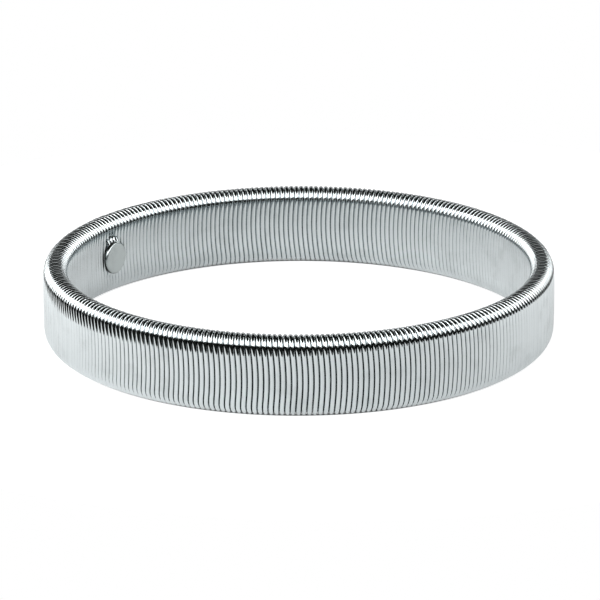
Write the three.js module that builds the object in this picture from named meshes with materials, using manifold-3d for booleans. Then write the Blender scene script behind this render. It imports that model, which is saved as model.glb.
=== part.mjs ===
// A metal sleeve garter. One steel wire is wound into a long flattened coil, and the coil is closed into a
// loop that stretches over a shirt sleeve. Where its ends meet, a rivet with a flat button head passes in
// between two turns and through a steel strip that lies inside the coil, and keeps the joint from opening.
// The sizes are in millimetres and +Z is up. The loop rests on its lower rim at z = 0, its axis is the
// Z axis, and the rivet is on the +Y side with its head facing the middle of the loop.
import * as THREE from "three";
import { mergeVertices } from "three/addons/utils/BufferGeometryUtils.js";
import Module from "manifold-3d";

// The coil.
const loopDiameter = 80; // over the coil, across the closed loop
const bandHeight = 12.7; // of the flattened coil, along the loop's axis
const bandThickness = 3.8; // of the flattened coil, along the loop's radius
const wireDiameter = 0.75;
const turnGap = 0.02; // between neighbouring turns on the inner side of the loop, where they crowd
const grooveDepth = 0.3; // of the groove between two turns
const bulgeHeight = 0.2; // how far the joint pushes the coil's outer wall out
const bulgeWidth = 6; // of that bulge, along the loop

// The joint.
const seatGap = 0.3; // between two pieces that bear on each other
const headDiameter = 5.3;
const headThickness = 0.65;
const headRounding = 0.25; // radius of the button's front edge
const bladeWidth = 0.6; // of the rivet's blade, along the loop
const bladeHeight = 2.4; // of the rivet's blade, along the loop's axis
const tailDiameter = 3.6; // of the rivet's closed end, behind the strip
const tailThickness = 0.5;
const stripLength = 24; // along the loop

// How finely round forms are cut.
const hollowSteps = 60; // round the loop
const headSides = 32;
const tailSides = 20;
const roundingSteps = 3; // in the quarter turn of the button's edge
const stripSteps = 8; // along the strip

const loopRadius = loopDiameter / 2;
const midRadius = loopRadius - bandThickness / 2;
const boreRadius = loopRadius - bandThickness; // of the space inside the loop
const hollowThickness = bandThickness - 2 * wireDiameter;
const crowdedLength = 2 * Math.PI * (boreRadius + wireDiameter / 2);
const turns = Math.floor(crowdedLength / (wireDiameter + turnGap));
const turnAngle = (2 * Math.PI) / turns;
const rivetAzimuth = Math.PI / 2;

// The rivet's stack, as distances from the loop's axis.
const headBack = boreRadius - seatGap;
const stripInner = boreRadius + wireDiameter + seatGap;
const stripThickness = hollowThickness - tailThickness - 3 * seatGap;
const stripOuter = stripInner + stripThickness;
const tailFront = stripOuter + seatGap;

// The corners of the flattened coil's section, in the order in which the wire passes them. across goes from
// -1 on the loop's inner side to 1 on its outer side, as a share of half the thickness, and up is the side
// of the middle. A shoulder is where the round rim starts. advance is a share of one turn's advance: the
// wire leans over on the inner face and stands upright on the outer one.
const sectionCorners = [
  { across: -1, up: -1, shoulder: true, advance: 0 },
  { across: -1, up: 1, shoulder: true, advance: 0.28 },
  { across: -0.55, up: 1, shoulder: false, advance: 0.4 },
  { across: 0.55, up: 1, shoulder: false, advance: 0.52 },
  { across: 1, up: 1, shoulder: true, advance: 0.64 },
  { across: 1, up: -1, shoulder: true, advance: 0.64 },
  { across: 0.55, up: -1, shoulder: false, advance: 0.76 },
  { across: -0.55, up: -1, shoulder: false, advance: 0.88 },
];

const wasm = await Module();
wasm.setup();

// A closed geometry as a solid that can be joined and cut.
function solidOf(geometry) {
  const bare = geometry.clone();
  bare.deleteAttribute("normal");
  bare.deleteAttribute("uv");
  const merged = mergeVertices(bare, 1e-5);
  return new wasm.Manifold(
    new wasm.Mesh({
      numProp: 3,
      vertProperties: new Float32Array(merged.attributes.position.array),
      triVerts: new Uint32Array(merged.index.array),
    }),
  );
}

// A solid as a geometry with flat facets.
function geometryOf(solid) {
  const mesh = solid.getMesh();
  const places = new Float32Array(mesh.numVert * 3);
  for (let i = 0; i < mesh.numVert; i++) {
    const first = i * mesh.numProp;
    places.set(mesh.vertProperties.subarray(first, first + 3), i * 3);
  }
  const indexed = new THREE.BufferGeometry()
    .setAttribute("position", new THREE.BufferAttribute(places, 3))
    .setIndex(new THREE.BufferAttribute(new Uint32Array(mesh.triVerts), 1));
  const faceted = indexed.toNonIndexed();
  faceted.computeVertexNormals();
  return faceted;
}

// A geometry made of triangles between listed points.
function geometryFrom(points, triangles) {
  const places = points.flatMap((point) => point.toArray());
  return new THREE.BufferGeometry()
    .setAttribute("position", new THREE.Float32BufferAttribute(places, 3))
    .setIndex(triangles.flat());
}

// How far the joint pushes the coil's outer wall out, at an azimuth in radians.
function bulgeAt(azimuth) {
  const fromRivet = Math.atan2(Math.sin(azimuth - rivetAzimuth), Math.cos(azimuth - rivetAzimuth));
  const share = Math.abs(fromRivet * loopRadius) / (bulgeWidth / 2);
  return share < 1 ? bulgeHeight * Math.cos((share * Math.PI) / 2) ** 2 : 0;
}

// The place of a section corner at an azimuth, on a wall that lies inset from the coil's outside.
function cornerPoint(corner, inset, azimuth) {
  const halfThickness = bandThickness / 2 - inset;
  const halfHeight = bandHeight / 2 - inset;
  const rise = corner.shoulder ? halfHeight - halfThickness : halfHeight;
  const pushed = Math.max(corner.across, 0) * bulgeAt(azimuth);
  const radius = midRadius + corner.across * halfThickness + pushed;
  return new THREE.Vector3(
    radius * Math.cos(azimuth),
    radius * Math.sin(azimuth),
    bandHeight / 2 + corner.up * rise,
  );
}

// The outside of the coil. A ridge and a groove run round the section as the wire does, turn after turn,
// and meet themselves again at the joint.
function windingSolid() {
  const perTurn = sectionCorners.length;
  const count = turns * perTurn;
  const ridge = [];
  const groove = [];
  for (let turn = 0; turn < turns; turn++) {
    for (const corner of sectionCorners) {
      const azimuth = rivetAzimuth + (turn + corner.advance) * turnAngle;
      ridge.push(cornerPoint(corner, 0, azimuth));
      groove.push(cornerPoint(corner, grooveDepth, azimuth + turnAngle / 2));
    }
  }
  const triangles = [];
  for (let near = 0; near < count; near++) {
    const next = (near + 1) % count;
    const nearBeside = (near + perTurn) % count;
    const nextBeside = (next + perTurn) % count;
    triangles.push([near, next, count + next], [near, count + next, count + near]);
    triangles.push([count + near, count + next, nextBeside], [count + near, nextBeside, nearBeside]);
  }
  return solidOf(geometryFrom([...ridge, ...groove], triangles));
}

// The hollow inside the coil.
function hollowSolid() {
  const perStep = sectionCorners.length;
  const points = [];
  const triangles = [];
  for (let step = 0; step < hollowSteps; step++) {
    const azimuth = rivetAzimuth + (2 * Math.PI * step) / hollowSteps;
    const here = step * perStep;
    const there = ((step + 1) % hollowSteps) * perStep;
    for (let side = 0; side < perStep; side++) {
      const beside = (side + 1) % perStep;
      points.push(cornerPoint(sectionCorners[side], wireDiameter, azimuth));
      triangles.push([here + side, here + beside, there + beside], [here + side, there + beside, there + side]);
    }
  }
  return solidOf(geometryFrom(points, triangles));
}

// A block on the rivet's line, between two distances from the loop's axis.
function blockSolid(width, height, nearRadius, farRadius) {
  const block = new THREE.BoxGeometry(width, farRadius - nearRadius, height);
  return solidOf(block.translate(0, (nearRadius + farRadius) / 2, bandHeight / 2));
}

// The way of the rivet's blade through the pieces that it holds, with its clearance, from the loop's axis
// out to a distance farRadius.
function bladeWay(farRadius) {
  return blockSolid(bladeWidth + 2 * seatGap, bladeHeight + 2 * seatGap, 0, farRadius);
}

// A disc on the rivet's line with its front face nearRadius from the loop's axis and that face's edge
// rounded.
function discSolid(diameter, thickness, rounding, nearRadius, sides) {
  const radius = diameter / 2;
  const profile = [new THREE.Vector2(0, 0)];
  for (let step = 0; step <= roundingSteps; step++) {
    const turned = (Math.PI / 2) * (step / roundingSteps);
    const across = radius - rounding + rounding * Math.sin(turned);
    profile.push(new THREE.Vector2(across, rounding - rounding * Math.cos(turned)));
  }
  profile.push(new THREE.Vector2(radius, thickness), new THREE.Vector2(0, thickness));
  const disc = new THREE.LatheGeometry(profile, sides);
  return solidOf(disc.translate(0, nearRadius, bandHeight / 2));
}

// The coil, hollow, with a way in for the rivet's blade between two turns of its inner wall.
function coilGeometry() {
  return geometryOf(windingSolid().subtract(hollowSolid()).subtract(bladeWay(midRadius)));
}

// The rivet: its button head, its blade and its closed end behind the strip.
function rivetGeometry() {
  const head = discSolid(headDiameter, headThickness, headRounding, headBack - headThickness, headSides);
  const blade = blockSolid(bladeWidth, bladeHeight, headBack - headThickness / 2, tailFront + tailThickness / 2);
  const tail = discSolid(tailDiameter, tailThickness, 0, tailFront, tailSides);
  return geometryOf(head.add(blade).add(tail));
}

// The strip inside the coil, bent to the loop, with a hole for the rivet's blade. It is as high as the
// coil's wall is flat.
function stripGeometry() {
  const halfAngle = stripLength / 2 / stripInner;
  const outline = new THREE.Shape();
  outline.absarc(0, 0, stripOuter, rivetAzimuth - halfAngle, rivetAzimuth + halfAngle, false);
  outline.absarc(0, 0, stripInner, rivetAzimuth + halfAngle, rivetAzimuth - halfAngle, true);
  const height = bandHeight - bandThickness;
  const strip = new THREE.ExtrudeGeometry(outline, {
    depth: height,
    bevelEnabled: false,
    curveSegments: stripSteps,
  });
  strip.translate(0, 0, (bandHeight - height) / 2);
  return geometryOf(solidOf(strip).subtract(bladeWay(tailFront)));
}

// A named piece with its own material.
function piece(name, geometry, color, roughness) {
  const material = new THREE.MeshStandardMaterial({ color, roughness, metalness: 1 });
  const mesh = new THREE.Mesh(geometry, material);
  mesh.name = name;
  return mesh;
}

const garter = new THREE.Group();
garter.add(
  piece("wire_coil", coilGeometry(), "#c9cbc9", 0.2),
  piece("rivet", rivetGeometry(), "#c2c4c3", 0.25),
  piece("joining_strip", stripGeometry(), "#9c9e9d", 0.45),
);

export default garter;
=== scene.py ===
"""A metal sleeve garter: one steel wire wound into a flattened coil and closed into a loop by a rivet.

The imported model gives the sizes. Here the coil's real wire is wound turn by turn, the rivet gets its soft
edges, and every piece gets its finish. Everything is in metres.
"""

import enum
import logging
import math
from dataclasses import dataclass
from typing import Any, Optional, Union

import bmesh
import bpy
from mathutils import Matrix, Vector


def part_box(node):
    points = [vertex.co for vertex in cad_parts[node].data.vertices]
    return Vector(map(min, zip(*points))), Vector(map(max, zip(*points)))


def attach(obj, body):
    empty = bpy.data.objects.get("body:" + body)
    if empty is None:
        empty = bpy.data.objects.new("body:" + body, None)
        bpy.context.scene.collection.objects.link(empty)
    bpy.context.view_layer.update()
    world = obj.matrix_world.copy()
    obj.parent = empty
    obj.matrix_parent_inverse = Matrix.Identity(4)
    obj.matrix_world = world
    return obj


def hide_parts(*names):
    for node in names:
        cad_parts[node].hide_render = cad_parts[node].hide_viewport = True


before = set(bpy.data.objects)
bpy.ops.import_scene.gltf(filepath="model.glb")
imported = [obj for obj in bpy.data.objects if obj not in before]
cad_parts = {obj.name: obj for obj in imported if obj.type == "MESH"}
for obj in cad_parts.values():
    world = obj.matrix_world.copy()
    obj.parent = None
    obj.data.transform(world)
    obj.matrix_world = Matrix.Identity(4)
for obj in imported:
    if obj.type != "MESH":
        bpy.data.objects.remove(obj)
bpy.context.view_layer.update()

log = logging.getLogger("sleeve_garter")

MM = 0.001
BODY = "root"


class Value:
    """A number or vector in a node tree that takes part in Python arithmetic."""

    def __init__(self, tree: bpy.types.NodeTree, socket: bpy.types.NodeSocket) -> None:
        """Wraps a socket.

        Args:
            tree: The node tree that the socket is in.
            socket: An output socket.
        """
        self.tree = tree
        self.socket = socket

    def maths(self, operation: str, *others: Any) -> "Value":
        """Adds a Math node that works on this value.

        Args:
            operation: The Math node's operation.
            others: The other values, in the order of the node's sockets.

        Returns:
            The result.
        """
        return maths(self.tree, operation, self, *others)

    def __add__(self, other: Any) -> "Value":
        """Returns the sum."""
        return self.maths("ADD", other)

    __radd__ = __add__

    def __sub__(self, other: Any) -> "Value":
        """Returns the difference."""
        return self.maths("SUBTRACT", other)

    def __rsub__(self, other: Any) -> "Value":
        """Returns another value less this one."""
        return maths(self.tree, "SUBTRACT", other, self)

    def __mul__(self, other: Any) -> "Value":
        """Returns the product."""
        return self.maths("MULTIPLY", other)

    __rmul__ = __mul__

    def __truediv__(self, other: Any) -> "Value":
        """Returns the quotient."""
        return self.maths("DIVIDE", other)

    def __rtruediv__(self, other: Any) -> "Value":
        """Returns another value divided by this one."""
        return maths(self.tree, "DIVIDE", other, self)

    def clamped(self, low: Any = 0.0, high: Any = 1.0) -> "Value":
        """Holds the value between two limits.

        Args:
            low: The lower limit.
            high: The upper limit.

        Returns:
            The value, or the limit that it passes.
        """
        return self.maths("MAXIMUM", low).maths("MINIMUM", high)

    def smooth(self) -> "Value":
        """Returns a share from 0 to 1 with its ends eased."""
        share = self.clamped()
        return share * share * (3 - 2 * share)


def put(tree: bpy.types.NodeTree, target: bpy.types.NodeSocket, source: Any) -> None:
    """Links a value to an input socket, or sets the socket to a number, colour or other constant.

    Args:
        tree: The node tree.
        target: The input socket.
        source: A Value, an output socket or a constant.
    """
    if isinstance(source, Value):
        source = source.socket
    if isinstance(source, bpy.types.NodeSocket):
        tree.links.new(source, target)
    else:
        target.default_value = source


def add_node(
    tree: bpy.types.NodeTree,
    kind: str,
    settings: Optional[dict[str, Any]] = None,
    inputs: Optional[dict[Union[int, str], Any]] = None,
) -> bpy.types.Node:
    """Adds a node.

    Args:
        tree: The node tree.
        kind: The node's type.
        settings: The node's own settings, set before its sockets.
        inputs: The values or links of its input sockets, by name or number.

    Returns:
        The new node.
    """
    node = tree.nodes.new(kind)
    for name, setting in (settings or {}).items():
        setattr(node, name, setting)
    for key, source in (inputs or {}).items():
        put(tree, node.inputs[key], source)
    return node


def maths(tree: bpy.types.NodeTree, operation: str, *values: Any) -> Value:
    """Adds a Math node.

    Args:
        tree: The node tree.
        operation: The node's operation.
        values: Its values, in the order of its sockets.

    Returns:
        The result.
    """
    node = add_node(tree, "ShaderNodeMath", {"operation": operation}, dict(enumerate(values)))
    return Value(tree, node.outputs[0])


def mixed_color(tree: bpy.types.NodeTree, share: Any, first: Any, second: Any) -> Value:
    """Adds a Mix node for colours.

    Args:
        tree: The node tree.
        share: How much of the second colour shows.
        first: The first colour.
        second: The second colour.

    Returns:
        The mixed colour.
    """
    node = add_node(tree, "ShaderNodeMix", {"data_type": "RGBA"}, {0: share, 6: first, 7: second})
    return Value(tree, node.outputs[2])


@dataclass(frozen=True)
class SteelFinish:
    """A bright metal finish, with what drawing, handling and wear leave on it, and painted shade between
    turns and where parts meet.

    Attributes:
        slot: The record's material slot.
        color: Reflected colour.
        soiled: Reflected colour where the metal has dulled.
        roughness: Of clean metal.
        dulled: Added to the roughness where the metal has dulled.
        patch_scale: Patches of dulled metal in a metre.
        line_scale: Fine lines in a metre, across them.
        line_stretch: How much longer than wide the fine lines are, along Z.
        line_depth: Of the fine lines, in metres.
        turn_attribute: Name of the attribute that counts the turns of a winding, if the piece has one.
        turn_spread: How far towards the dulled metal the dullest turn of the winding is, as a share.
        groove: From where to where the painted shade between turns thickens, as how far the metal faces
            along the loop.
        groove_reach: The radii, from the loop's axis, between which that painted shade comes to its full.
        groove_top: The heights between which it thins out again, towards the upper rim.
        painted_shade_attribute: Name of the attribute that says where the painted shade lies, if the piece
            has one.
        painted_shade: Colour of the painted shade, laid between turns and round the rivet's head where
            shade falls.
        patch_start: The height of the patches' noise at which dulling starts.
        patch_steepness: How fast the dulling grows from there.
        least_roughness: The roughness never goes under this.
    """

    slot: str
    color: tuple[float, float, float]
    soiled: tuple[float, float, float]
    roughness: float
    dulled: float
    patch_scale: float
    line_scale: float
    line_stretch: float
    line_depth: float
    turn_attribute: Optional[str] = None
    turn_spread: float = 0.0
    groove: Optional[tuple[float, float]] = None
    groove_reach: tuple[float, float] = (0.0, 1.0)
    groove_top: tuple[float, float] = (0.0, 1.0)
    painted_shade_attribute: Optional[str] = None
    painted_shade: tuple[float, float, float] = (0.03, 0.033, 0.032)
    patch_start: float = 0.45
    patch_steepness: float = 3.0
    least_roughness: float = 0.02

    def make(self) -> bpy.types.Material:
        """Builds the material.

        Returns:
            The material, named for its slot.
        """
        material = bpy.data.materials.new(self.slot)
        material.use_nodes = True
        tree = material.node_tree
        tree.nodes.clear()
        place = Value(tree, add_node(tree, "ShaderNodeTexCoord").outputs["Object"])
        patches = self.patches(tree, place)
        lines = self.lines(tree, place)
        color = mixed_color(tree, patches, (*self.color, 1.0), (*self.soiled, 1.0))
        roughness = self.roughness + self.dulled * patches + self.roughness * (lines - 0.5)
        if self.turn_attribute:
            shade = self.turn_shade(tree)
            color = mixed_color(tree, shade, color, (*self.soiled, 1.0))
            roughness = roughness + self.dulled * shade
        # Painted shade in the grooves between turns.
        if self.groove:
            color = mixed_color(tree, self.groove_painted_shade(tree, place), color, (*self.painted_shade, 1.0))
        # Painted shade from an attribute: round the rivet head's edge, where it meets the coil.
        if self.painted_shade_attribute:
            painted = add_node(tree, "ShaderNodeAttribute", {"attribute_name": self.painted_shade_attribute})
            color = mixed_color(tree, painted.outputs["Fac"], color, (*self.painted_shade, 1.0))
        bump = add_node(
            tree,
            "ShaderNodeBump",
            None,
            {"Strength": 1.0, "Distance": self.line_depth, "Height": lines},
        )
        shader = add_node(
            tree,
            "ShaderNodeBsdfPrincipled",
            None,
            {
                "Base Color": color,
                "Metallic": 1.0,
                "Roughness": roughness.clamped(self.least_roughness, 1.0),
                "Normal": bump.outputs["Normal"],
            },
        )
        add_node(tree, "ShaderNodeOutputMaterial", None, {"Surface": shader.outputs[0]})
        return material

    def patches(self, tree: bpy.types.NodeTree, place: Value) -> Value:
        """Spreads the dulling in soft patches.

        Args:
            tree: The material's tree.
            place: The place on the piece.

        Returns:
            The share of dulling.
        """
        noise = add_node(
            tree,
            "ShaderNodeTexNoise",
            None,
            {"Vector": place, "Scale": self.patch_scale, "Detail": 4.0, "Roughness": 0.6},
        )
        return ((Value(tree, noise.outputs[0]) - self.patch_start) * self.patch_steepness).smooth()

    def lines(self, tree: bpy.types.NodeTree, place: Value) -> Value:
        """Draws the fine lines.

        Args:
            tree: The material's tree.
            place: The place on the piece.

        Returns:
            The height of the lines, as a share.
        """
        mapping = add_node(
            tree,
            "ShaderNodeMapping",
            None,
            {"Vector": place, "Scale": (1.0, 1.0, 1.0 / self.line_stretch)},
        )
        noise = add_node(
            tree,
            "ShaderNodeTexNoise",
            None,
            {"Vector": mapping.outputs[0], "Scale": self.line_scale, "Detail": 3.0, "Roughness": 0.7},
        )
        return Value(tree, noise.outputs[0])

    def groove_painted_shade(self, tree: bpy.types.NodeTree, place: Value) -> Value:
        """Paints shade where the metal faces a neighbouring turn, as painted shade between turns.

        Args:
            tree: The material's tree.
            place: The place on the piece.

        Returns:
            The share of painted shade.
        """
        up = (0.0, 0.0, 1.0)
        beside = add_node(tree, "ShaderNodeVectorMath", {"operation": "CROSS_PRODUCT"}, {0: up, 1: place})
        along = add_node(tree, "ShaderNodeVectorMath", {"operation": "NORMALIZE"}, {0: beside.outputs[0]})
        facing = add_node(tree, "ShaderNodeNewGeometry").outputs["Normal"]
        share = add_node(
            tree,
            "ShaderNodeVectorMath",
            {"operation": "DOT_PRODUCT"},
            {0: facing, 1: along.outputs[0]},
        )
        radius = add_node(tree, "ShaderNodeVectorMath", {"operation": "LENGTH"}, {0: beside.outputs[0]})
        height = add_node(tree, "ShaderNodeSeparateXYZ", None, {0: place}).outputs[2]
        start, end = self.groove
        near, far = self.groove_reach
        low, high = self.groove_top
        sideways = (Value(tree, share.outputs["Value"]).maths("ABSOLUTE") - start) / (end - start)
        outward = (Value(tree, radius.outputs["Value"]) - near) / (far - near)
        below = (high - Value(tree, height)) / (high - low)
        return sideways.smooth() * outward.clamped() * below.clamped()

    def turn_shade(self, tree: bpy.types.NodeTree) -> Value:
        """Makes the turns of a winding differ.

        Args:
            tree: The material's tree.

        Returns:
            How much duller than the brightest one a turn is.
        """
        counter = add_node(tree, "ShaderNodeAttribute", {"attribute_name": self.turn_attribute})
        turn = maths(tree, "FLOOR", Value(tree, counter.outputs["Fac"]))
        random = add_node(tree, "ShaderNodeTexWhiteNoise", {"noise_dimensions": "1D"}, {"W": turn})
        return Value(tree, random.outputs["Value"]) * self.turn_spread


class Finish(enum.Enum):
    """The garter's finishes."""

    WIRE = SteelFinish(
        slot="coil_steel",
        color=(0.60, 0.64, 0.65),
        soiled=(0.52, 0.557, 0.565),
        roughness=0.05,
        dulled=0.02,
        patch_scale=260.0,
        line_scale=9000.0,
        line_stretch=30.0,
        line_depth=0.0000015,
        turn_attribute="turns_passed",
        turn_spread=0.14,
        # Painted shade in the grooves between turns, strongest on the outer face and thinning near the
        # upper rim.
        groove=(0.85, 1.0),
        groove_reach=(36.3 * MM, 39.0 * MM),
        groove_top=(10.6 * MM, 11.6 * MM),
    )
    RIVET = SteelFinish(
        slot="rivet_steel",
        color=(0.41, 0.447, 0.445),
        soiled=(0.35, 0.382, 0.378),
        roughness=0.14,
        dulled=0.1,
        patch_scale=500.0,
        line_scale=5000.0,
        line_stretch=2.0,
        line_depth=0.000003,
        # Painted shade round the head's edge, where it meets the coil.
        painted_shade_attribute="painted_shade",
    )
    STRIP = SteelFinish(
        slot="strip_steel",
        color=(0.61, 0.62, 0.615),
        soiled=(0.45, 0.45, 0.44),
        roughness=0.32,
        dulled=0.15,
        patch_scale=300.0,
        line_scale=4000.0,
        line_stretch=0.02,
        line_depth=0.000004,
    )


@dataclass
class LoopSizes:
    """The loop's sizes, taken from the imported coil.

    Attributes:
        low_z: Height of the plane that the loop rests on.
        height: Of the band.
        outer_radius: Of the loop.
        bore_radius: Of the space inside the loop.
        rivet_azimuth: Where the rivet is, in radians from +X.
    """

    low_z: float
    height: float
    outer_radius: float
    bore_radius: float
    rivet_azimuth: float

    @classmethod
    def measured(cls) -> "LoopSizes":
        """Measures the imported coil.

        Returns:
            Its sizes.
        """
        low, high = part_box("wire_coil")
        rivet_low, rivet_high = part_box("rivet")
        reach = [Vector(vertex.co[:2]).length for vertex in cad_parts["wire_coil"].data.vertices]
        middle = (Vector(rivet_low) + Vector(rivet_high)) / 2
        return cls(
            low_z=low[2],
            height=high[2] - low[2],
            outer_radius=high[0],
            bore_radius=min(reach),
            rivet_azimuth=math.atan2(middle.y, middle.x),
        )

    @property
    def thickness(self) -> float:
        """Thickness of the band."""
        return self.outer_radius - self.bore_radius

    @property
    def middle_radius(self) -> float:
        """Radius of the middle of the band."""
        return (self.outer_radius + self.bore_radius) / 2

    @property
    def middle_z(self) -> float:
        """Height of the middle of the band."""
        return self.low_z + self.height / 2


@dataclass
class WireCoil:
    """The coil: one steel wire wound round a flat core, turn against turn, and closed into a loop.

    Attributes:
        loop: The loop's sizes.
        wire_diameter: Of the wire.
        turn_gap: Between two turns on the inner side of the loop. Less than 0 laps them, so no gap shows.
        rim_rise: How high the rounded rim is, from where the faces are straight to its top.
        crown: How far each face bows out across the band.
        inner_lean: Share of one turn's advance that is made up the inner face.
        outer_lean: Share of one turn's advance that is made down the outer face.
        inner_bow: How far a turn bows along the loop on the inner face, as a share of one turn's advance.
        outer_bow: The same on the outer face.
        bulge_height: How far the joint pushes the outer wall out.
        bulge_width: Of that bulge, along the loop.
        hump_height: How far the joint pushes the inner wall in, under the button.
        hump_radius: Of the flat top of that hump.
        hump_slope: Width of its slope.
        squeeze_share: How far the gathered points reach from its middle, as a share of its width.
        unevenness: How far a turn strays from its place.
        face_steps: Points of the wire's path on each face.
        rim_steps: Points of the wire's path on each rim.
        sides: Of the wire's section.
        seed: Chooses how the turns stray.
    """

    loop: LoopSizes
    wire_diameter: float = 0.79 * MM
    turn_gap: float = -0.02 * MM
    rim_rise: float = 1.72 * MM
    crown: float = 0.03 * MM
    inner_lean: float = 0.2
    outer_lean: float = 0.16
    inner_bow: float = 0.356
    outer_bow: float = 0.294
    bulge_height: float = 0.2 * MM
    bulge_width: float = 6.0 * MM
    hump_height: float = 0.42 * MM
    hump_radius: float = 2.5 * MM
    hump_slope: float = 0.65 * MM
    squeeze_share: float = 0.75
    unevenness: float = 0.009 * MM
    face_steps: int = 7
    rim_steps: int = 9
    sides: int = 10
    seed: int = 4

    @property
    def turns(self) -> int:
        """How many turns the closed loop holds."""
        crowded = 2 * math.pi * (self.loop.bore_radius + self.wire_diameter / 2)
        return math.floor(crowded / (self.wire_diameter + self.turn_gap))

    def build(self, finish: Finish) -> bpy.types.Object:
        """Winds the wire.

        Args:
            finish: The finish of the wire.

        Returns:
            The wire as one plain mesh.
        """
        material = finish.value.make()
        tree = self.winding_tree()
        carrier = bpy.data.objects.new("winding", bpy.data.meshes.new("winding"))
        bpy.context.scene.collection.objects.link(carrier)
        modifier = carrier.modifiers.new("winding", "NODES")
        modifier.node_group = tree
        settings = {**self.sizes(), "Material": material}
        for item in tree.interface.items_tree:
            if item.item_type == "SOCKET" and item.in_out == "INPUT" and item.name in settings:
                modifier[item.identifier] = settings[item.name]
        wire = made_plain(carrier, "coil_wire")
        wire.data.materials.clear()
        wire.data.materials.append(material)
        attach(wire, BODY)
        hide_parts("wire_coil")
        return wire

    def sizes(self) -> dict[str, float]:
        """Lists what the winding tree works with.

        Returns:
            The value of each of its named inputs but the material.
        """
        wire_radius = self.wire_diameter / 2
        return {
            "Turns": self.turns,
            "Face Steps": self.face_steps,
            "Rim Steps": self.rim_steps,
            "Sides": self.sides,
            "Wire Radius": wire_radius,
            "Loop Radius": self.loop.middle_radius,
            "Half Thickness": self.loop.thickness / 2 - wire_radius,
            "Rim Rise": self.rim_rise,
            "Half Flat": self.loop.height / 2 - wire_radius - self.rim_rise,
            "Middle Height": self.loop.middle_z,
            "Rivet Azimuth": self.loop.rivet_azimuth,
            "Crown": self.crown,
            "Inner Lean": self.inner_lean,
            "Outer Lean": self.outer_lean,
            "Inner Bow": self.inner_bow,
            "Outer Bow": self.outer_bow,
            "Bulge Height": self.bulge_height,
            "Bulge Width": self.bulge_width,
            "Hump Height": self.hump_height,
            "Hump Radius": self.hump_radius,
            "Hump Slope": self.hump_slope,
            "Unevenness": self.unevenness,
            "Seed": self.seed,
        }

    def winding_tree(self) -> bpy.types.NodeTree:
        """Builds the node tree that winds the wire.

        Returns:
            The tree, with a named input for each size.
        """
        tree = bpy.data.node_groups.new("winding", "GeometryNodeTree")
        whole = {"Turns", "Face Steps", "Rim Steps", "Sides", "Seed"}
        kinds = {"Material": "NodeSocketMaterial", **{name: "NodeSocketInt" for name in whole}}
        for name in (*self.sizes(), "Material"):
            kind = kinds.get(name, "NodeSocketFloat")
            tree.interface.new_socket(name=name, in_out="INPUT", socket_type=kind)
        tree.interface.new_socket(name="Geometry", in_out="OUTPUT", socket_type="NodeSocketGeometry")
        given = add_node(tree, "NodeGroupInput").outputs
        size = {name: Value(tree, given[name]) for name in self.sizes()}

        half_steps = size["Face Steps"] + size["Rim Steps"]
        count = size["Turns"] * half_steps * 2
        index = Value(tree, add_node(tree, "GeometryNodeInputIndex").outputs[0])
        # The shares that are added here keep rounding from moving a point to the turn before.
        half_turn = maths(tree, "FLOOR", (index + 0.5) / half_steps)
        step = index - half_turn * half_steps
        turn = maths(tree, "FLOOR", half_turn / 2 + 0.25)
        outer = half_turn - turn * 2
        side = 1 - 2 * outer
        turn_angle = 2 * math.pi / size["Turns"]
        even = (step / size["Face Steps"]).clamped()
        arc = ((step - size["Face Steps"]) / size["Rim Steps"]).clamped()
        mid_face = (turn + size["Inner Lean"] / 2) * turn_angle
        along = even + self.gathered(tree, size, even, outer, mid_face)

        advance = self.advance(tree, size, outer, along, arc)
        uneven = self.strayed(tree, size, turn + advance)
        from_start = (turn + advance) * turn_angle + uneven[0] / size["Loop Radius"]
        azimuth = size["Rivet Azimuth"] + from_start
        crown = size["Crown"] * 4 * along * (1 - along)
        swing = arc * math.pi
        across = -1 * side * (size["Half Thickness"] * swing.maths("COSINE") + crown)
        rise = size["Half Flat"] * (2 * along - 1) + size["Rim Rise"] * swing.maths("SINE")
        up = side * rise
        radius = size["Loop Radius"] + across + uneven[1] + self.pushed(tree, size, from_start, across, up)
        place = add_node(
            tree,
            "ShaderNodeCombineXYZ",
            None,
            {
                0: radius * azimuth.maths("COSINE"),
                1: radius * azimuth.maths("SINE"),
                2: size["Middle Height"] + up + uneven[2],
            },
        )
        return self.wound(tree, given, size, count, turn + advance, place.outputs[0])

    def gathered(
        self,
        tree: bpy.types.NodeTree,
        size: dict[str, Value],
        even: Value,
        outer: Value,
        from_start: Value,
    ) -> Value:
        """Works out how far a point of the path moves to gather at the slopes of the hump.

        The points that move lie from half a step to two and a half steps off the middle of the face.

        Args:
            tree: The winding tree.
            size: The tree's inputs.
            even: The share of the face that is passed, with even steps.
            outer: 1 on the outer face, 0 on the inner face.
            from_start: The azimuth from the rivet, in radians, from 0 up.

        Returns:
            What is added to the share. It is 0 away from the rivet and on the outer face.
        """
        turned = from_start - 2 * math.pi * maths(tree, "ROUND", from_start / (2 * math.pi))
        reach = turned.maths("ABSOLUTE") * size["Loop Radius"]
        top = size["Hump Radius"] + size["Hump Slope"]
        near = (2 - reach / top).clamped() * (1 - outer)
        slope_middle = (size["Hump Radius"] + size["Hump Slope"] / 2) / (2 * size["Half Flat"])
        from_middle = even - 0.5
        half = from_middle.maths("ABSOLUTE")
        inner_step = 0.5 / size["Face Steps"]
        outer_step = 2.5 / size["Face Steps"]
        middle_step = (inner_step + outer_step) / 2
        slope_share = size["Hump Slope"] / (2 * size["Half Flat"])
        squeeze = self.squeeze_share * slope_share / (outer_step - middle_step)
        wanted = slope_middle + (half - middle_step) * squeeze
        just_over_all = 1.01
        inside = (half / outer_step).maths("LESS_THAN", just_over_all)
        moved = (wanted - half) * from_middle.maths("SIGN") * inside
        return moved * near

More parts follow.
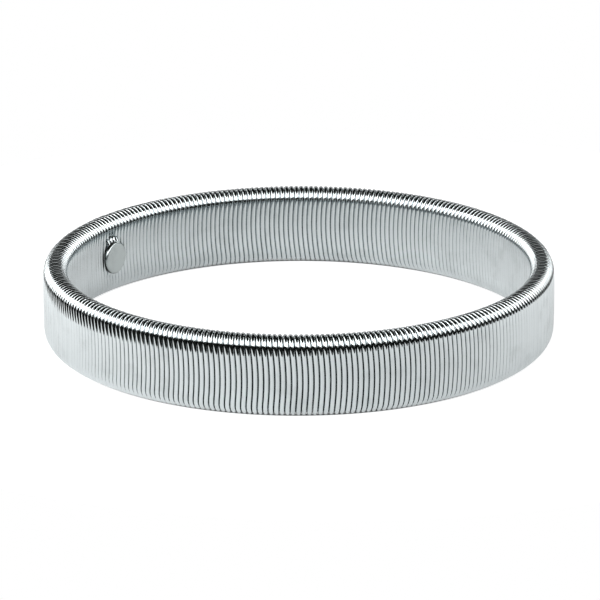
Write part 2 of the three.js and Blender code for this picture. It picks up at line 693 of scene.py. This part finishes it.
    def advance(
        self,
        tree: bpy.types.NodeTree,
        size: dict[str, Value],
        outer: Value,
        along: Value,
        arc: Value,
    ) -> Value:
        """Works out how far along the loop the wire has come within its turn.

        Args:
            tree: The winding tree. Not used.
            size: The tree's inputs.
            outer: 1 on the outer face and the lower rim, 0 on the inner face and the upper rim.
            along: The share of the face that is passed.
            arc: The share of the rim that is passed.

        Returns:
            The share of one turn's advance.
        """
        lean = size["Inner Lean"] * (1 - outer) + size["Outer Lean"] * outer
        bow = size["Inner Bow"] * (1 - outer) + size["Outer Bow"] * outer
        next_lean = size["Inner Lean"] * outer + size["Outer Lean"] * (1 - outer)
        next_bow = size["Inner Bow"] * outer + size["Outer Bow"] * (1 - outer)
        over_rim = (1 - size["Inner Lean"] - size["Outer Lean"]) / 2
        rim_length = math.pi * size["Half Thickness"] / (2 * size["Half Flat"])
        leaving = rim_length * (lean - 4 * bow)
        arriving = rim_length * (next_lean + 4 * next_bow)
        rest = 1 - arc
        on_face = lean * along + 4 * bow * along * (1 - along)
        on_rim = over_rim * arc.smooth() + leaving * arc * rest * rest - arriving * arc * arc * rest
        return outer * (size["Inner Lean"] + over_rim) + on_face + on_rim

    def strayed(self, tree: bpy.types.NodeTree, size: dict[str, Value], passed: Value) -> list[Value]:
        """Works out how far the wire strays from its place, smoothly along its length.

        Args:
            tree: The winding tree.
            size: The tree's inputs.
            passed: How many turns have passed.

        Returns:
            How far along the loop, away from its axis, and up.
        """
        paces = (0.9, 0.55, 0.37)
        seed_stride = 17
        row_stride = 411
        result = []
        for row, pace in enumerate(paces):
            counted = passed * pace + size["Seed"] * seed_stride + row * row_stride
            noise = add_node(
                tree,
                "ShaderNodeTexNoise",
                {"noise_dimensions": "1D"},
                {"W": counted, "Scale": 1.0, "Detail": 1.0},
            )
            result.append((Value(tree, noise.outputs[0]) - 0.5) * 2 * size["Unevenness"])
        return result

    def pushed(
        self,
        tree: bpy.types.NodeTree,
        size: dict[str, Value],
        from_start: Value,
        across: Value,
        up: Value,
    ) -> Value:
        """Works out how far the joint pushes the coil's walls away from the loop's axis.

        Args:
            tree: The winding tree.
            size: The tree's inputs.
            from_start: The azimuth from the rivet, in radians, from 0 up.
            across: The place across the band, from its middle.
            up: The height over the middle of the band.

        Returns:
            How far out: less than 0 is towards the axis.
        """
        turned = from_start - 2 * math.pi * maths(tree, "ROUND", from_start / (2 * math.pi))
        reach = turned * (size["Loop Radius"] + across)
        outward = (across / size["Half Thickness"]).clamped()
        inward = (-1 * across / size["Half Thickness"]).clamped()
        bulge_share = 1 - reach.maths("ABSOLUTE") / (size["Bulge Width"] / 2)
        from_rivet = (reach * reach + up * up).maths("SQRT")
        hump_share = 1 - (from_rivet - size["Hump Radius"]) / size["Hump Slope"]
        bulge = size["Bulge Height"] * outward * bulge_share.smooth()
        return bulge - size["Hump Height"] * inward * hump_share.smooth()

    def wound(
        self,
        tree: bpy.types.NodeTree,
        given: Any,
        size: dict[str, Value],
        count: Value,
        passed: Value,
        place: bpy.types.NodeSocket,
    ) -> bpy.types.NodeTree:
        """Adds the nodes that lay the path and give it the wire's round section.

        Args:
            tree: The winding tree.
            given: The outputs of the tree's input node.
            size: The tree's inputs.
            count: How many points the path has.
            passed: How many turns have passed at each point.
            place: The place of each point.

        Returns:
            The finished tree.
        """
        line = add_node(
            tree,
            "GeometryNodeMeshLine",
            {"mode": "OFFSET", "count_mode": "TOTAL"},
            {"Count": count},
        )
        counted = add_node(
            tree,
            "GeometryNodeStoreNamedAttribute",
            {"data_type": "FLOAT", "domain": "POINT"},
            {"Geometry": line.outputs[0], "Name": Finish.WIRE.value.turn_attribute, "Value": passed},
        )
        laid = add_node(
            tree,
            "GeometryNodeSetPosition",
            None,
            {"Geometry": counted.outputs[0], "Position": place},
        )
        path = add_node(tree, "GeometryNodeMeshToCurve", None, {0: laid.outputs[0]})
        closed = add_node(
            tree,
            "GeometryNodeSetSplineCyclic",
            None,
            {"Geometry": path.outputs[0], "Cyclic": True},
        )
        section = add_node(
            tree,
            "GeometryNodeCurvePrimitiveCircle",
            {"mode": "RADIUS"},
            {"Resolution": size["Sides"], "Radius": size["Wire Radius"]},
        )
        skin = add_node(
            tree,
            "GeometryNodeCurveToMesh",
            None,
            {"Curve": closed.outputs[0], "Profile Curve": section.outputs[0]},
        )
        smooth = add_node(
            tree,
            "GeometryNodeSetShadeSmooth",
            None,
            {0: skin.outputs[0], "Shade Smooth": True},
        )
        real = add_node(tree, "GeometryNodeRealizeInstances", None, {0: smooth.outputs[0]})
        dressed = add_node(
            tree,
            "GeometryNodeSetMaterial",
            None,
            {"Geometry": real.outputs[0], "Material": given["Material"]},
        )
        add_node(tree, "NodeGroupOutput", None, {0: dressed.outputs[0]})
        return tree


def made_plain(carrier: bpy.types.Object, name: str) -> bpy.types.Object:
    """Turns an object with modifiers into a plain mesh object and deletes the first one.

    Args:
        carrier: The object with its modifiers.
        name: The name of the new object.

    Returns:
        The plain object, at the origin.
    """
    depsgraph = bpy.context.evaluated_depsgraph_get()
    mesh = bpy.data.meshes.new_from_object(carrier.evaluated_get(depsgraph))
    mesh.name = name
    bpy.data.objects.remove(carrier)
    plain = bpy.data.objects.new(name, mesh)
    bpy.context.scene.collection.objects.link(plain)
    return plain


@dataclass
class Rivet:
    """The rivet: a flat button head with a soft edge, a blade, and a closed end inside the coil.

    Attributes:
        loop: The loop's sizes.
        edge_radius: Rounding of the head's front edge.
        foot_radius: Rounding of the head's back edge.
        dish: How far the head's front sinks in the middle.
        dish_curve: Points of that hollow: share of the head's radius, and share of the full depth.
        blade: Width and height of the blade.
        tail_radius: Of the closed end.
        tail_thickness: Of the closed end.
        tail_slant: Its slanted back edge: share of the radius at its end, of the thickness at its start.
        sides: Of the round forms.
        head_thickness: Of the head.
        painted_shade_start: Where the painted shade starts behind the head's front, as a share of its
            edge's rounding.
        painted_shade_rise: How much sooner it starts at the head's lowest point, so the painted shade
            reaches further forward lower down.
        painted_shade_fade: Over what share of the rounding it comes to its full.
        edge_steps: Of the head's front edge. Its back edge has half as many.
        sharp_angle: From which angle two faces meet in a sharp edge, in degrees.
    """

    loop: LoopSizes
    edge_radius: float = 0.34 * MM
    foot_radius: float = 0.12 * MM
    dish: float = 0.05 * MM
    dish_curve: tuple[tuple[float, float], ...] = ((0.0, 1.0), (0.5, 0.8), (0.8, 0.25))
    blade: tuple[float, float] = (0.6 * MM, 2.4 * MM)
    tail_radius: float = 1.8 * MM
    tail_thickness: float = 0.5 * MM
    tail_slant: tuple[float, float] = (0.85, 0.7)
    sides: int = 96
    head_thickness: float = 0.65 * MM
    painted_shade_start: float = 0.85
    painted_shade_rise: float = 0.75
    painted_shade_fade: float = 0.2
    edge_steps: int = 8
    sharp_angle: float = 40.0

    def build(self, finish: Finish) -> bpy.types.Object:
        """Makes the rivet.

        Args:
            finish: The finish of the rivet.

        Returns:
            The rivet as one plain mesh.
        """
        low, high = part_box("rivet")
        mesh = bpy.data.meshes.new("rivet_button")
        shape = bmesh.new()
        painted_shade = shape.verts.layers.float.new(finish.value.painted_shade_attribute)
        near = low[1]
        far = high[1]
        self.add_round(shape, self.head_profile((high[0] - low[0]) / 2), near)
        self.add_round(shape, self.tail_profile(), far - self.tail_thickness)
        self.add_blade(shape, near + self.head_thickness / 2, far - self.tail_thickness / 2)
        # Painted shade on the head's side towards the coil, reaching further forward lower down.
        for vertex in shape.verts:
            sunk = (vertex.co.y - near) / self.edge_radius
            downness = max(self.loop.middle_z - vertex.co.z, 0.0) / (high[2] - self.loop.middle_z)
            start = self.painted_shade_start - self.painted_shade_rise * downness
            vertex[painted_shade] = min(max((sunk - start) / self.painted_shade_fade, 0.0), 1.0)
        shape.to_mesh(mesh)
        shape.free()
        mesh.polygons.foreach_set("use_smooth", [True] * len(mesh.polygons))
        mesh.set_sharp_from_angle(angle=math.radians(self.sharp_angle))
        rivet = bpy.data.objects.new("rivet_button", mesh)
        bpy.context.scene.collection.objects.link(rivet)
        rivet.data.materials.append(finish.value.make())
        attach(rivet, BODY)
        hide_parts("rivet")
        return rivet

    def head_profile(self, radius: float) -> list[tuple[float, float]]:
        """Draws the head's outline.

        Args:
            radius: Of the head.

        Returns:
            Distances from the rivet's line and from the head's front.
        """
        steps = self.edge_steps
        outline = [(radius * across, self.dish * depth) for across, depth in self.dish_curve]
        for step in range(steps + 1):
            turned = math.pi / 2 * step / steps
            across = radius - self.edge_radius * (1 - math.sin(turned))
            outline.append((across, self.edge_radius * (1 - math.cos(turned))))
        back = self.head_thickness
        for step in range(steps // 2 + 1):
            turned = math.pi / 2 * step / (steps // 2)
            across = radius - self.foot_radius * (1 - math.cos(turned))
            outline.append((across, back - self.foot_radius * (1 - math.sin(turned))))
        outline.append((0.0, back))
        return outline

    def tail_profile(self) -> list[tuple[float, float]]:
        """Draws the closed end's outline.

        Returns:
            Distances from the rivet's line and from the end's front.
        """
        slant_radius, slant_depth = self.tail_slant
        return [
            (0.0, 0.0),
            (self.tail_radius, 0.0),
            (self.tail_radius, self.tail_thickness * slant_depth),
            (self.tail_radius * slant_radius, self.tail_thickness),
            (0.0, self.tail_thickness),
        ]

    def add_round(self, shape: bmesh.types.BMesh, outline: list[tuple[float, float]], near: float) -> None:
        """Adds a round form about the rivet's line.

        Args:
            shape: The mesh that is being made.
            outline: Distances from the rivet's line and from the form's front, from the line to the line.
            near: Distance of the form's front from the loop's axis.
        """
        middle = self.loop.middle_z
        front = shape.verts.new((0.0, near + outline[0][1], middle))
        back = shape.verts.new((0.0, near + outline[-1][1], middle))
        rings = []
        for across, depth in outline[1:-1]:
            ring = []
            for side in range(self.sides):
                turned = 2 * math.pi * side / self.sides
                place = (across * math.cos(turned), near + depth, middle + across * math.sin(turned))
                ring.append(shape.verts.new(place))
            rings.append(ring)
        for side in range(self.sides):
            after = (side + 1) % self.sides
            shape.faces.new((front, rings[0][side], rings[0][after]))
            shape.faces.new((back, rings[-1][after], rings[-1][side]))
            for ring, deeper in zip(rings, rings[1:]):
                shape.faces.new((ring[side], deeper[side], deeper[after], ring[after]))

    def add_blade(self, shape: bmesh.types.BMesh, near: float, far: float) -> None:
        """Adds the blade.

        Args:
            shape: The mesh that is being made.
            near: Distance of its near end from the loop's axis.
            far: Distance of its far end.
        """
        width, height = self.blade
        size = Matrix.Diagonal((width, far - near, height, 1.0))
        place = Matrix.Translation((0.0, (near + far) / 2, self.loop.middle_z))
        bmesh.ops.create_cube(shape, size=1.0, matrix=place @ size)


@dataclass(frozen=True)
class Softbox:
    """A rectangular soft light.

    Attributes:
        name: Its name.
        azimuth: Where it stands, in degrees: 0 is the camera's side, 90 its right, 180 the far side.
        elevation: Of its middle over the horizon, in degrees.
        distance: From the middle of the loop.
        size: Its width and height.
        brightness: Of its surface: 1 shows as white.
    """

    name: str
    azimuth: float
    elevation: float
    distance: float
    size: tuple[float, float]
    brightness: float


@dataclass
class Studio:
    """The plain pale floor, the soft lights and the camera.

    Attributes:
        loop: The loop's sizes.
        azimuth: Which way the camera looks, in degrees from +Y, turning from +Y to -X.
        elevation: Of the camera over the horizon, in degrees.
        distance: Of the camera from the middle of the loop.
        focal_pixels: Focal length, in pixels of the picture.
        picture: Width of the square picture, in pixels.
        middle_at: Where the middle of the loop shows in the picture, in pixels from its upper left corner.
        roll: Of the camera, in degrees.
        sensor: Width of the camera's sensor, in its millimetres.
        sight: The nearest and the farthest distance that the camera shows.
        floor_radius: Of the round floor.
        floor_sides: Of the round floor.
        floor_centre: How far its middle is from the loop's axis, to the camera's right and away from it.
        floor_color: Reflected colour of the floor.
        floor_roughness: Of the floor.
        floor_shine: Specular level of the floor.
        floor_glow: Brightness of the floor's mirror image outside the loop, at its left and its right, as
            painted light in the floor's glow.
        inner_glow: The same inside the loop.
        front_dip: How much darker the glow outside the loop is in the middle.
        glow_change: Width over which that glow changes from the left to the right.
        inner_dip: How much darker the glow inside the loop is at its axis, as painted shade.
        foot_dip: How much darker it is at the foot of the wall, as painted shade.
        foot_start: Where that darkening starts, as a share of the way from the axis to the wall.
        seen_glow: Brightness of the floor's glow as the camera sees it.
        contact: Radius of the ring under the band where the glow is taken away, as a painted contact
            shadow, and half its width.
        contact_core: The fully dark share of that half width.
        backdrop: Colour behind the floor, as the camera sees it.
        lights: The soft lights.
        dusk: Colour of the surroundings between the lights, as the metal mirrors them.
    """

    loop: LoopSizes
    azimuth: float = -55.9
    elevation: float = 18.144
    distance: float = 0.8003
    focal_pixels: float = 5102.0
    picture: float = 600.0
    middle_at: tuple[float, float] = (298.84, 295.6)
    roll: float = -0.147
    sensor: float = 36.0
    sight: tuple[float, float] = (0.01, 20.0)
    floor_radius: float = 0.097
    floor_sides: int = 256
    floor_centre: tuple[float, float] = (0.006, 0.014)
    floor_color: tuple[float, float, float] = (0.58, 0.58, 0.58)
    floor_roughness: float = 0.9
    floor_shine: float = 0.1
    floor_glow: tuple[float, float] = (0.8, 0.61)
    inner_glow: tuple[float, float] = (0.37, 0.78)
    front_dip: float = 0.26
    glow_change: float = 0.06
    inner_dip: float = 0.4
    foot_dip: float = 0.22
    foot_start: float = 0.7
    seen_glow: float = 0.68
    contact: tuple[float, float] = (0.0381, 0.0005)
    contact_core: float = 0.6
    backdrop: tuple[float, float, float] = (1.0, 1.0, 1.0)
    lights: tuple[Softbox, ...] = (
        Softbox("left", -80.0, 28.0, 1.5, (1.1, 1.15), 2.6),
        Softbox("front_left", -42.0, 35.0, 1.5, (1.3, 0.85), 2.7),
        Softbox("front_middle", 0.0, 36.0, 1.5, (1.0, 0.8), 2.3),
        Softbox("front_right", 42.0, 35.0, 1.5, (1.3, 0.85), 2.55),
        Softbox("right", 82.0, 26.0, 1.5, (1.1, 0.95), 2.2),
        Softbox("back_left", -118.0, 15.0, 1.5, (1.0, 0.75), 1.9),
        Softbox("back_right", 116.0, 14.0, 1.5, (0.9, 0.7), 1.5),
        Softbox("back_fill", 180.0, 21.0, 1.5, (2.0, 0.85), 0.7),
    )
    dusk: tuple[float, float, float] = (0.012, 0.014, 0.013)

    def direction(self, azimuth: float, elevation: float) -> Vector:
        """Works out the direction from the loop to a place.

        Args:
            azimuth: In degrees: 0 is the camera's side, 90 its right, 180 the far side.
            elevation: Over the horizon, in degrees.

        Returns:
            The direction, one unit long.
        """
        turned = math.radians(self.azimuth - 90 + azimuth)
        raised = math.radians(elevation)
        level = math.cos(raised)
        return Vector((math.cos(turned) * level, math.sin(turned) * level, math.sin(raised)))

    def build(self) -> None:
        """Makes the floor, the lights, the world and the camera."""
        self.add_floor()
        for light in self.lights:
            self.add_light(light)
        self.set_world()
        self.add_camera()

    def add_floor(self) -> None:
        """Makes the floor."""
        mesh = bpy.data.meshes.new("floor")
        shape = bmesh.new()
        right = self.direction(90.0, 0.0) * self.floor_centre[0]
        ahead = self.direction(180.0, 0.0) * self.floor_centre[1]
        place = Matrix.Translation(right + ahead + Vector((0.0, 0.0, self.loop.low_z)))
        bmesh.ops.create_circle(
            shape,
            cap_ends=True,
            segments=self.floor_sides,
            radius=self.floor_radius,
            matrix=place,
        )
        shape.to_mesh(mesh)
        shape.free()
        floor = bpy.data.objects.new("floor", mesh)
        bpy.context.scene.collection.objects.link(floor)
        mesh.materials.append(self.floor_material())

    def floor_material(self) -> bpy.types.Material:
        """Makes the floor's pale paper, with its glow.

        Returns:
            The material.
        """
        material = bpy.data.materials.new("floor_paper")
        material.use_nodes = True
        tree = material.node_tree
        shader = tree.nodes["Principled BSDF"]
        shader.inputs["Base Color"].default_value = (*self.floor_color, 1.0)
        shader.inputs["Roughness"].default_value = self.floor_roughness
        shader.inputs["Specular IOR Level"].default_value = self.floor_shine
        shader.inputs["Emission Strength"].default_value = 1.0
        put(tree, shader.inputs["Emission Color"], self.glow(tree))
        return material

    def glow(self, tree: bpy.types.NodeTree) -> Value:
        """Grades the floor's glow: one brightness for the camera, and a changing one for the metal, which
        is painted light and shade.

        Args:
            tree: The floor's tree.

        Returns:
            The glow.
        """
        place = add_node(tree, "ShaderNodeTexCoord").outputs["Object"]
        length = add_node(tree, "ShaderNodeVectorMath", {"operation": "LENGTH"}, {0: place})
        radius = Value(tree, length.outputs["Value"])
        from_contact = radius - self.contact[0]
        outside = (from_contact / self.contact[1] + 0.5).clamped()
        to_edge = from_contact.maths("ABSOLUTE") / self.contact[1]
        # open_share takes the glow away under the band: a painted contact shadow.
        open_share = ((to_edge - self.contact_core) / (1 - self.contact_core)).smooth()
        outer, inner = self.mirrored_glows(tree, place, radius)
        mirrored = inner + (outer - inner) * outside
        seen = Value(tree, add_node(tree, "ShaderNodeLightPath").outputs["Is Camera Ray"])
        return (mirrored + (self.seen_glow - mirrored) * seen) * open_share

    def mirrored_glows(
        self,
        tree: bpy.types.NodeTree,
        place: bpy.types.NodeSocket,
        radius: Value,
    ) -> tuple[Value, Value]:
        """Grades the glow that the metal mirrors, from side to side, as painted light and shade.

        Args:
            tree: The floor's tree.
            place: The place on the floor.
            radius: Its distance from the loop's axis.

        Returns:
            The glow outside the loop and the glow inside it.
        """
        sideways = add_node(
            tree,
            "ShaderNodeVectorMath",
            {"operation": "DOT_PRODUCT"},
            {0: place, 1: self.direction(90.0, 0.0) / self.floor_radius},
        )
        rightward = Value(tree, sideways.outputs["Value"])
        share = (rightward * 0.5 + 0.5).smooth()
        change = (rightward * self.floor_radius / self.glow_change + 0.5).smooth()
        dip = self.front_dip * 4 * share * (1 - share)
        outer_left, outer_right = self.floor_glow
        outer = outer_left + (outer_right - outer_left) * change - dip
        near_wall = radius / self.loop.bore_radius
        axis_dip = self.inner_dip * (1 - near_wall).smooth()
        wall_dip = self.foot_dip * ((near_wall - self.foot_start) / (1 - self.foot_start)).smooth()
        inner_left, inner_right = self.inner_glow
        inner = inner_left + (inner_right - inner_left) * share - axis_dip - wall_dip
        return outer, inner

    def add_light(self, softbox: Softbox) -> None:
        """Makes a soft light that faces the loop.

        Args:
            softbox: What to make.
        """
        light = bpy.data.lights.new(softbox.name, "AREA")
        light.shape = "RECTANGLE"
        light.size, light.size_y = softbox.size
        light.energy = softbox.brightness * math.pi * softbox.size[0] * softbox.size[1]
        lamp = bpy.data.objects.new(softbox.name, light)
        bpy.context.scene.collection.objects.link(lamp)
        towards = self.direction(softbox.azimuth, softbox.elevation)
        lamp.location = Vector((0.0, 0.0, self.loop.middle_z)) + towards * softbox.distance
        lamp.rotation_euler = towards.to_track_quat("Z", "Y").to_euler()
        lamp.visible_camera = False

    def set_world(self) -> None:
        """Makes the surroundings: dark as the metal mirrors them, plain as the camera sees them."""
        world = bpy.data.worlds.new("studio")
        world.use_nodes = True
        tree = world.node_tree
        tree.nodes.clear()
        seen = add_node(tree, "ShaderNodeLightPath").outputs["Is Camera Ray"]
        color = mixed_color(tree, seen, (*self.dusk, 1.0), (*self.backdrop, 1.0))
        background = add_node(tree, "ShaderNodeBackground", None, {"Color": color, "Strength": 1.0})
        add_node(tree, "ShaderNodeOutputWorld", None, {"Surface": background.outputs[0]})
        bpy.context.scene.world = world
        bpy.context.scene.view_settings.view_transform = "Standard"

    def add_camera(self) -> None:
        """Makes the camera, at the photo's viewing angle."""
        camera = bpy.data.cameras.new("camera")
        camera.sensor_width = self.sensor
        camera.lens = self.focal_pixels / self.picture * self.sensor
        camera.shift_x = (self.picture / 2 - self.middle_at[0]) / self.picture
        camera.shift_y = (self.middle_at[1] - self.picture / 2) / self.picture
        camera.clip_start, camera.clip_end = self.sight
        eye = bpy.data.objects.new("camera", camera)
        bpy.context.scene.collection.objects.link(eye)
        towards = self.direction(0.0, self.elevation)
        eye.location = Vector((0.0, 0.0, self.loop.middle_z)) + towards * self.distance
        turn = towards.to_track_quat("Z", "Y").to_matrix().to_4x4()
        roll = Matrix.Rotation(math.radians(self.roll), 4, "Z")
        eye.rotation_euler = (turn @ roll).to_euler()
        bpy.context.scene.camera = eye


def main() -> None:
    """Builds the garter and its studio."""
    logging.basicConfig(level=logging.INFO, format="%(message)s")
    loop = LoopSizes.measured()
    across = loop.outer_radius * 2 / MM
    log.info("loop %.2f mm across, band %.2f by %.2f mm", across, loop.height / MM, loop.thickness / MM)
    coil = WireCoil(loop)
    wire = coil.build(Finish.WIRE)
    log.info("%s: %d turns, %d faces", wire.name, coil.turns, len(wire.data.polygons))
    rivet = Rivet(loop).build(Finish.RIVET)
    log.info("%s: %d faces", rivet.name, len(rivet.data.polygons))
    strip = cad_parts["joining_strip"]
    for slot in strip.material_slots:
        slot.material = Finish.STRIP.value.make()
    Studio(loop).build()


if __name__ == "__main__":
    main()
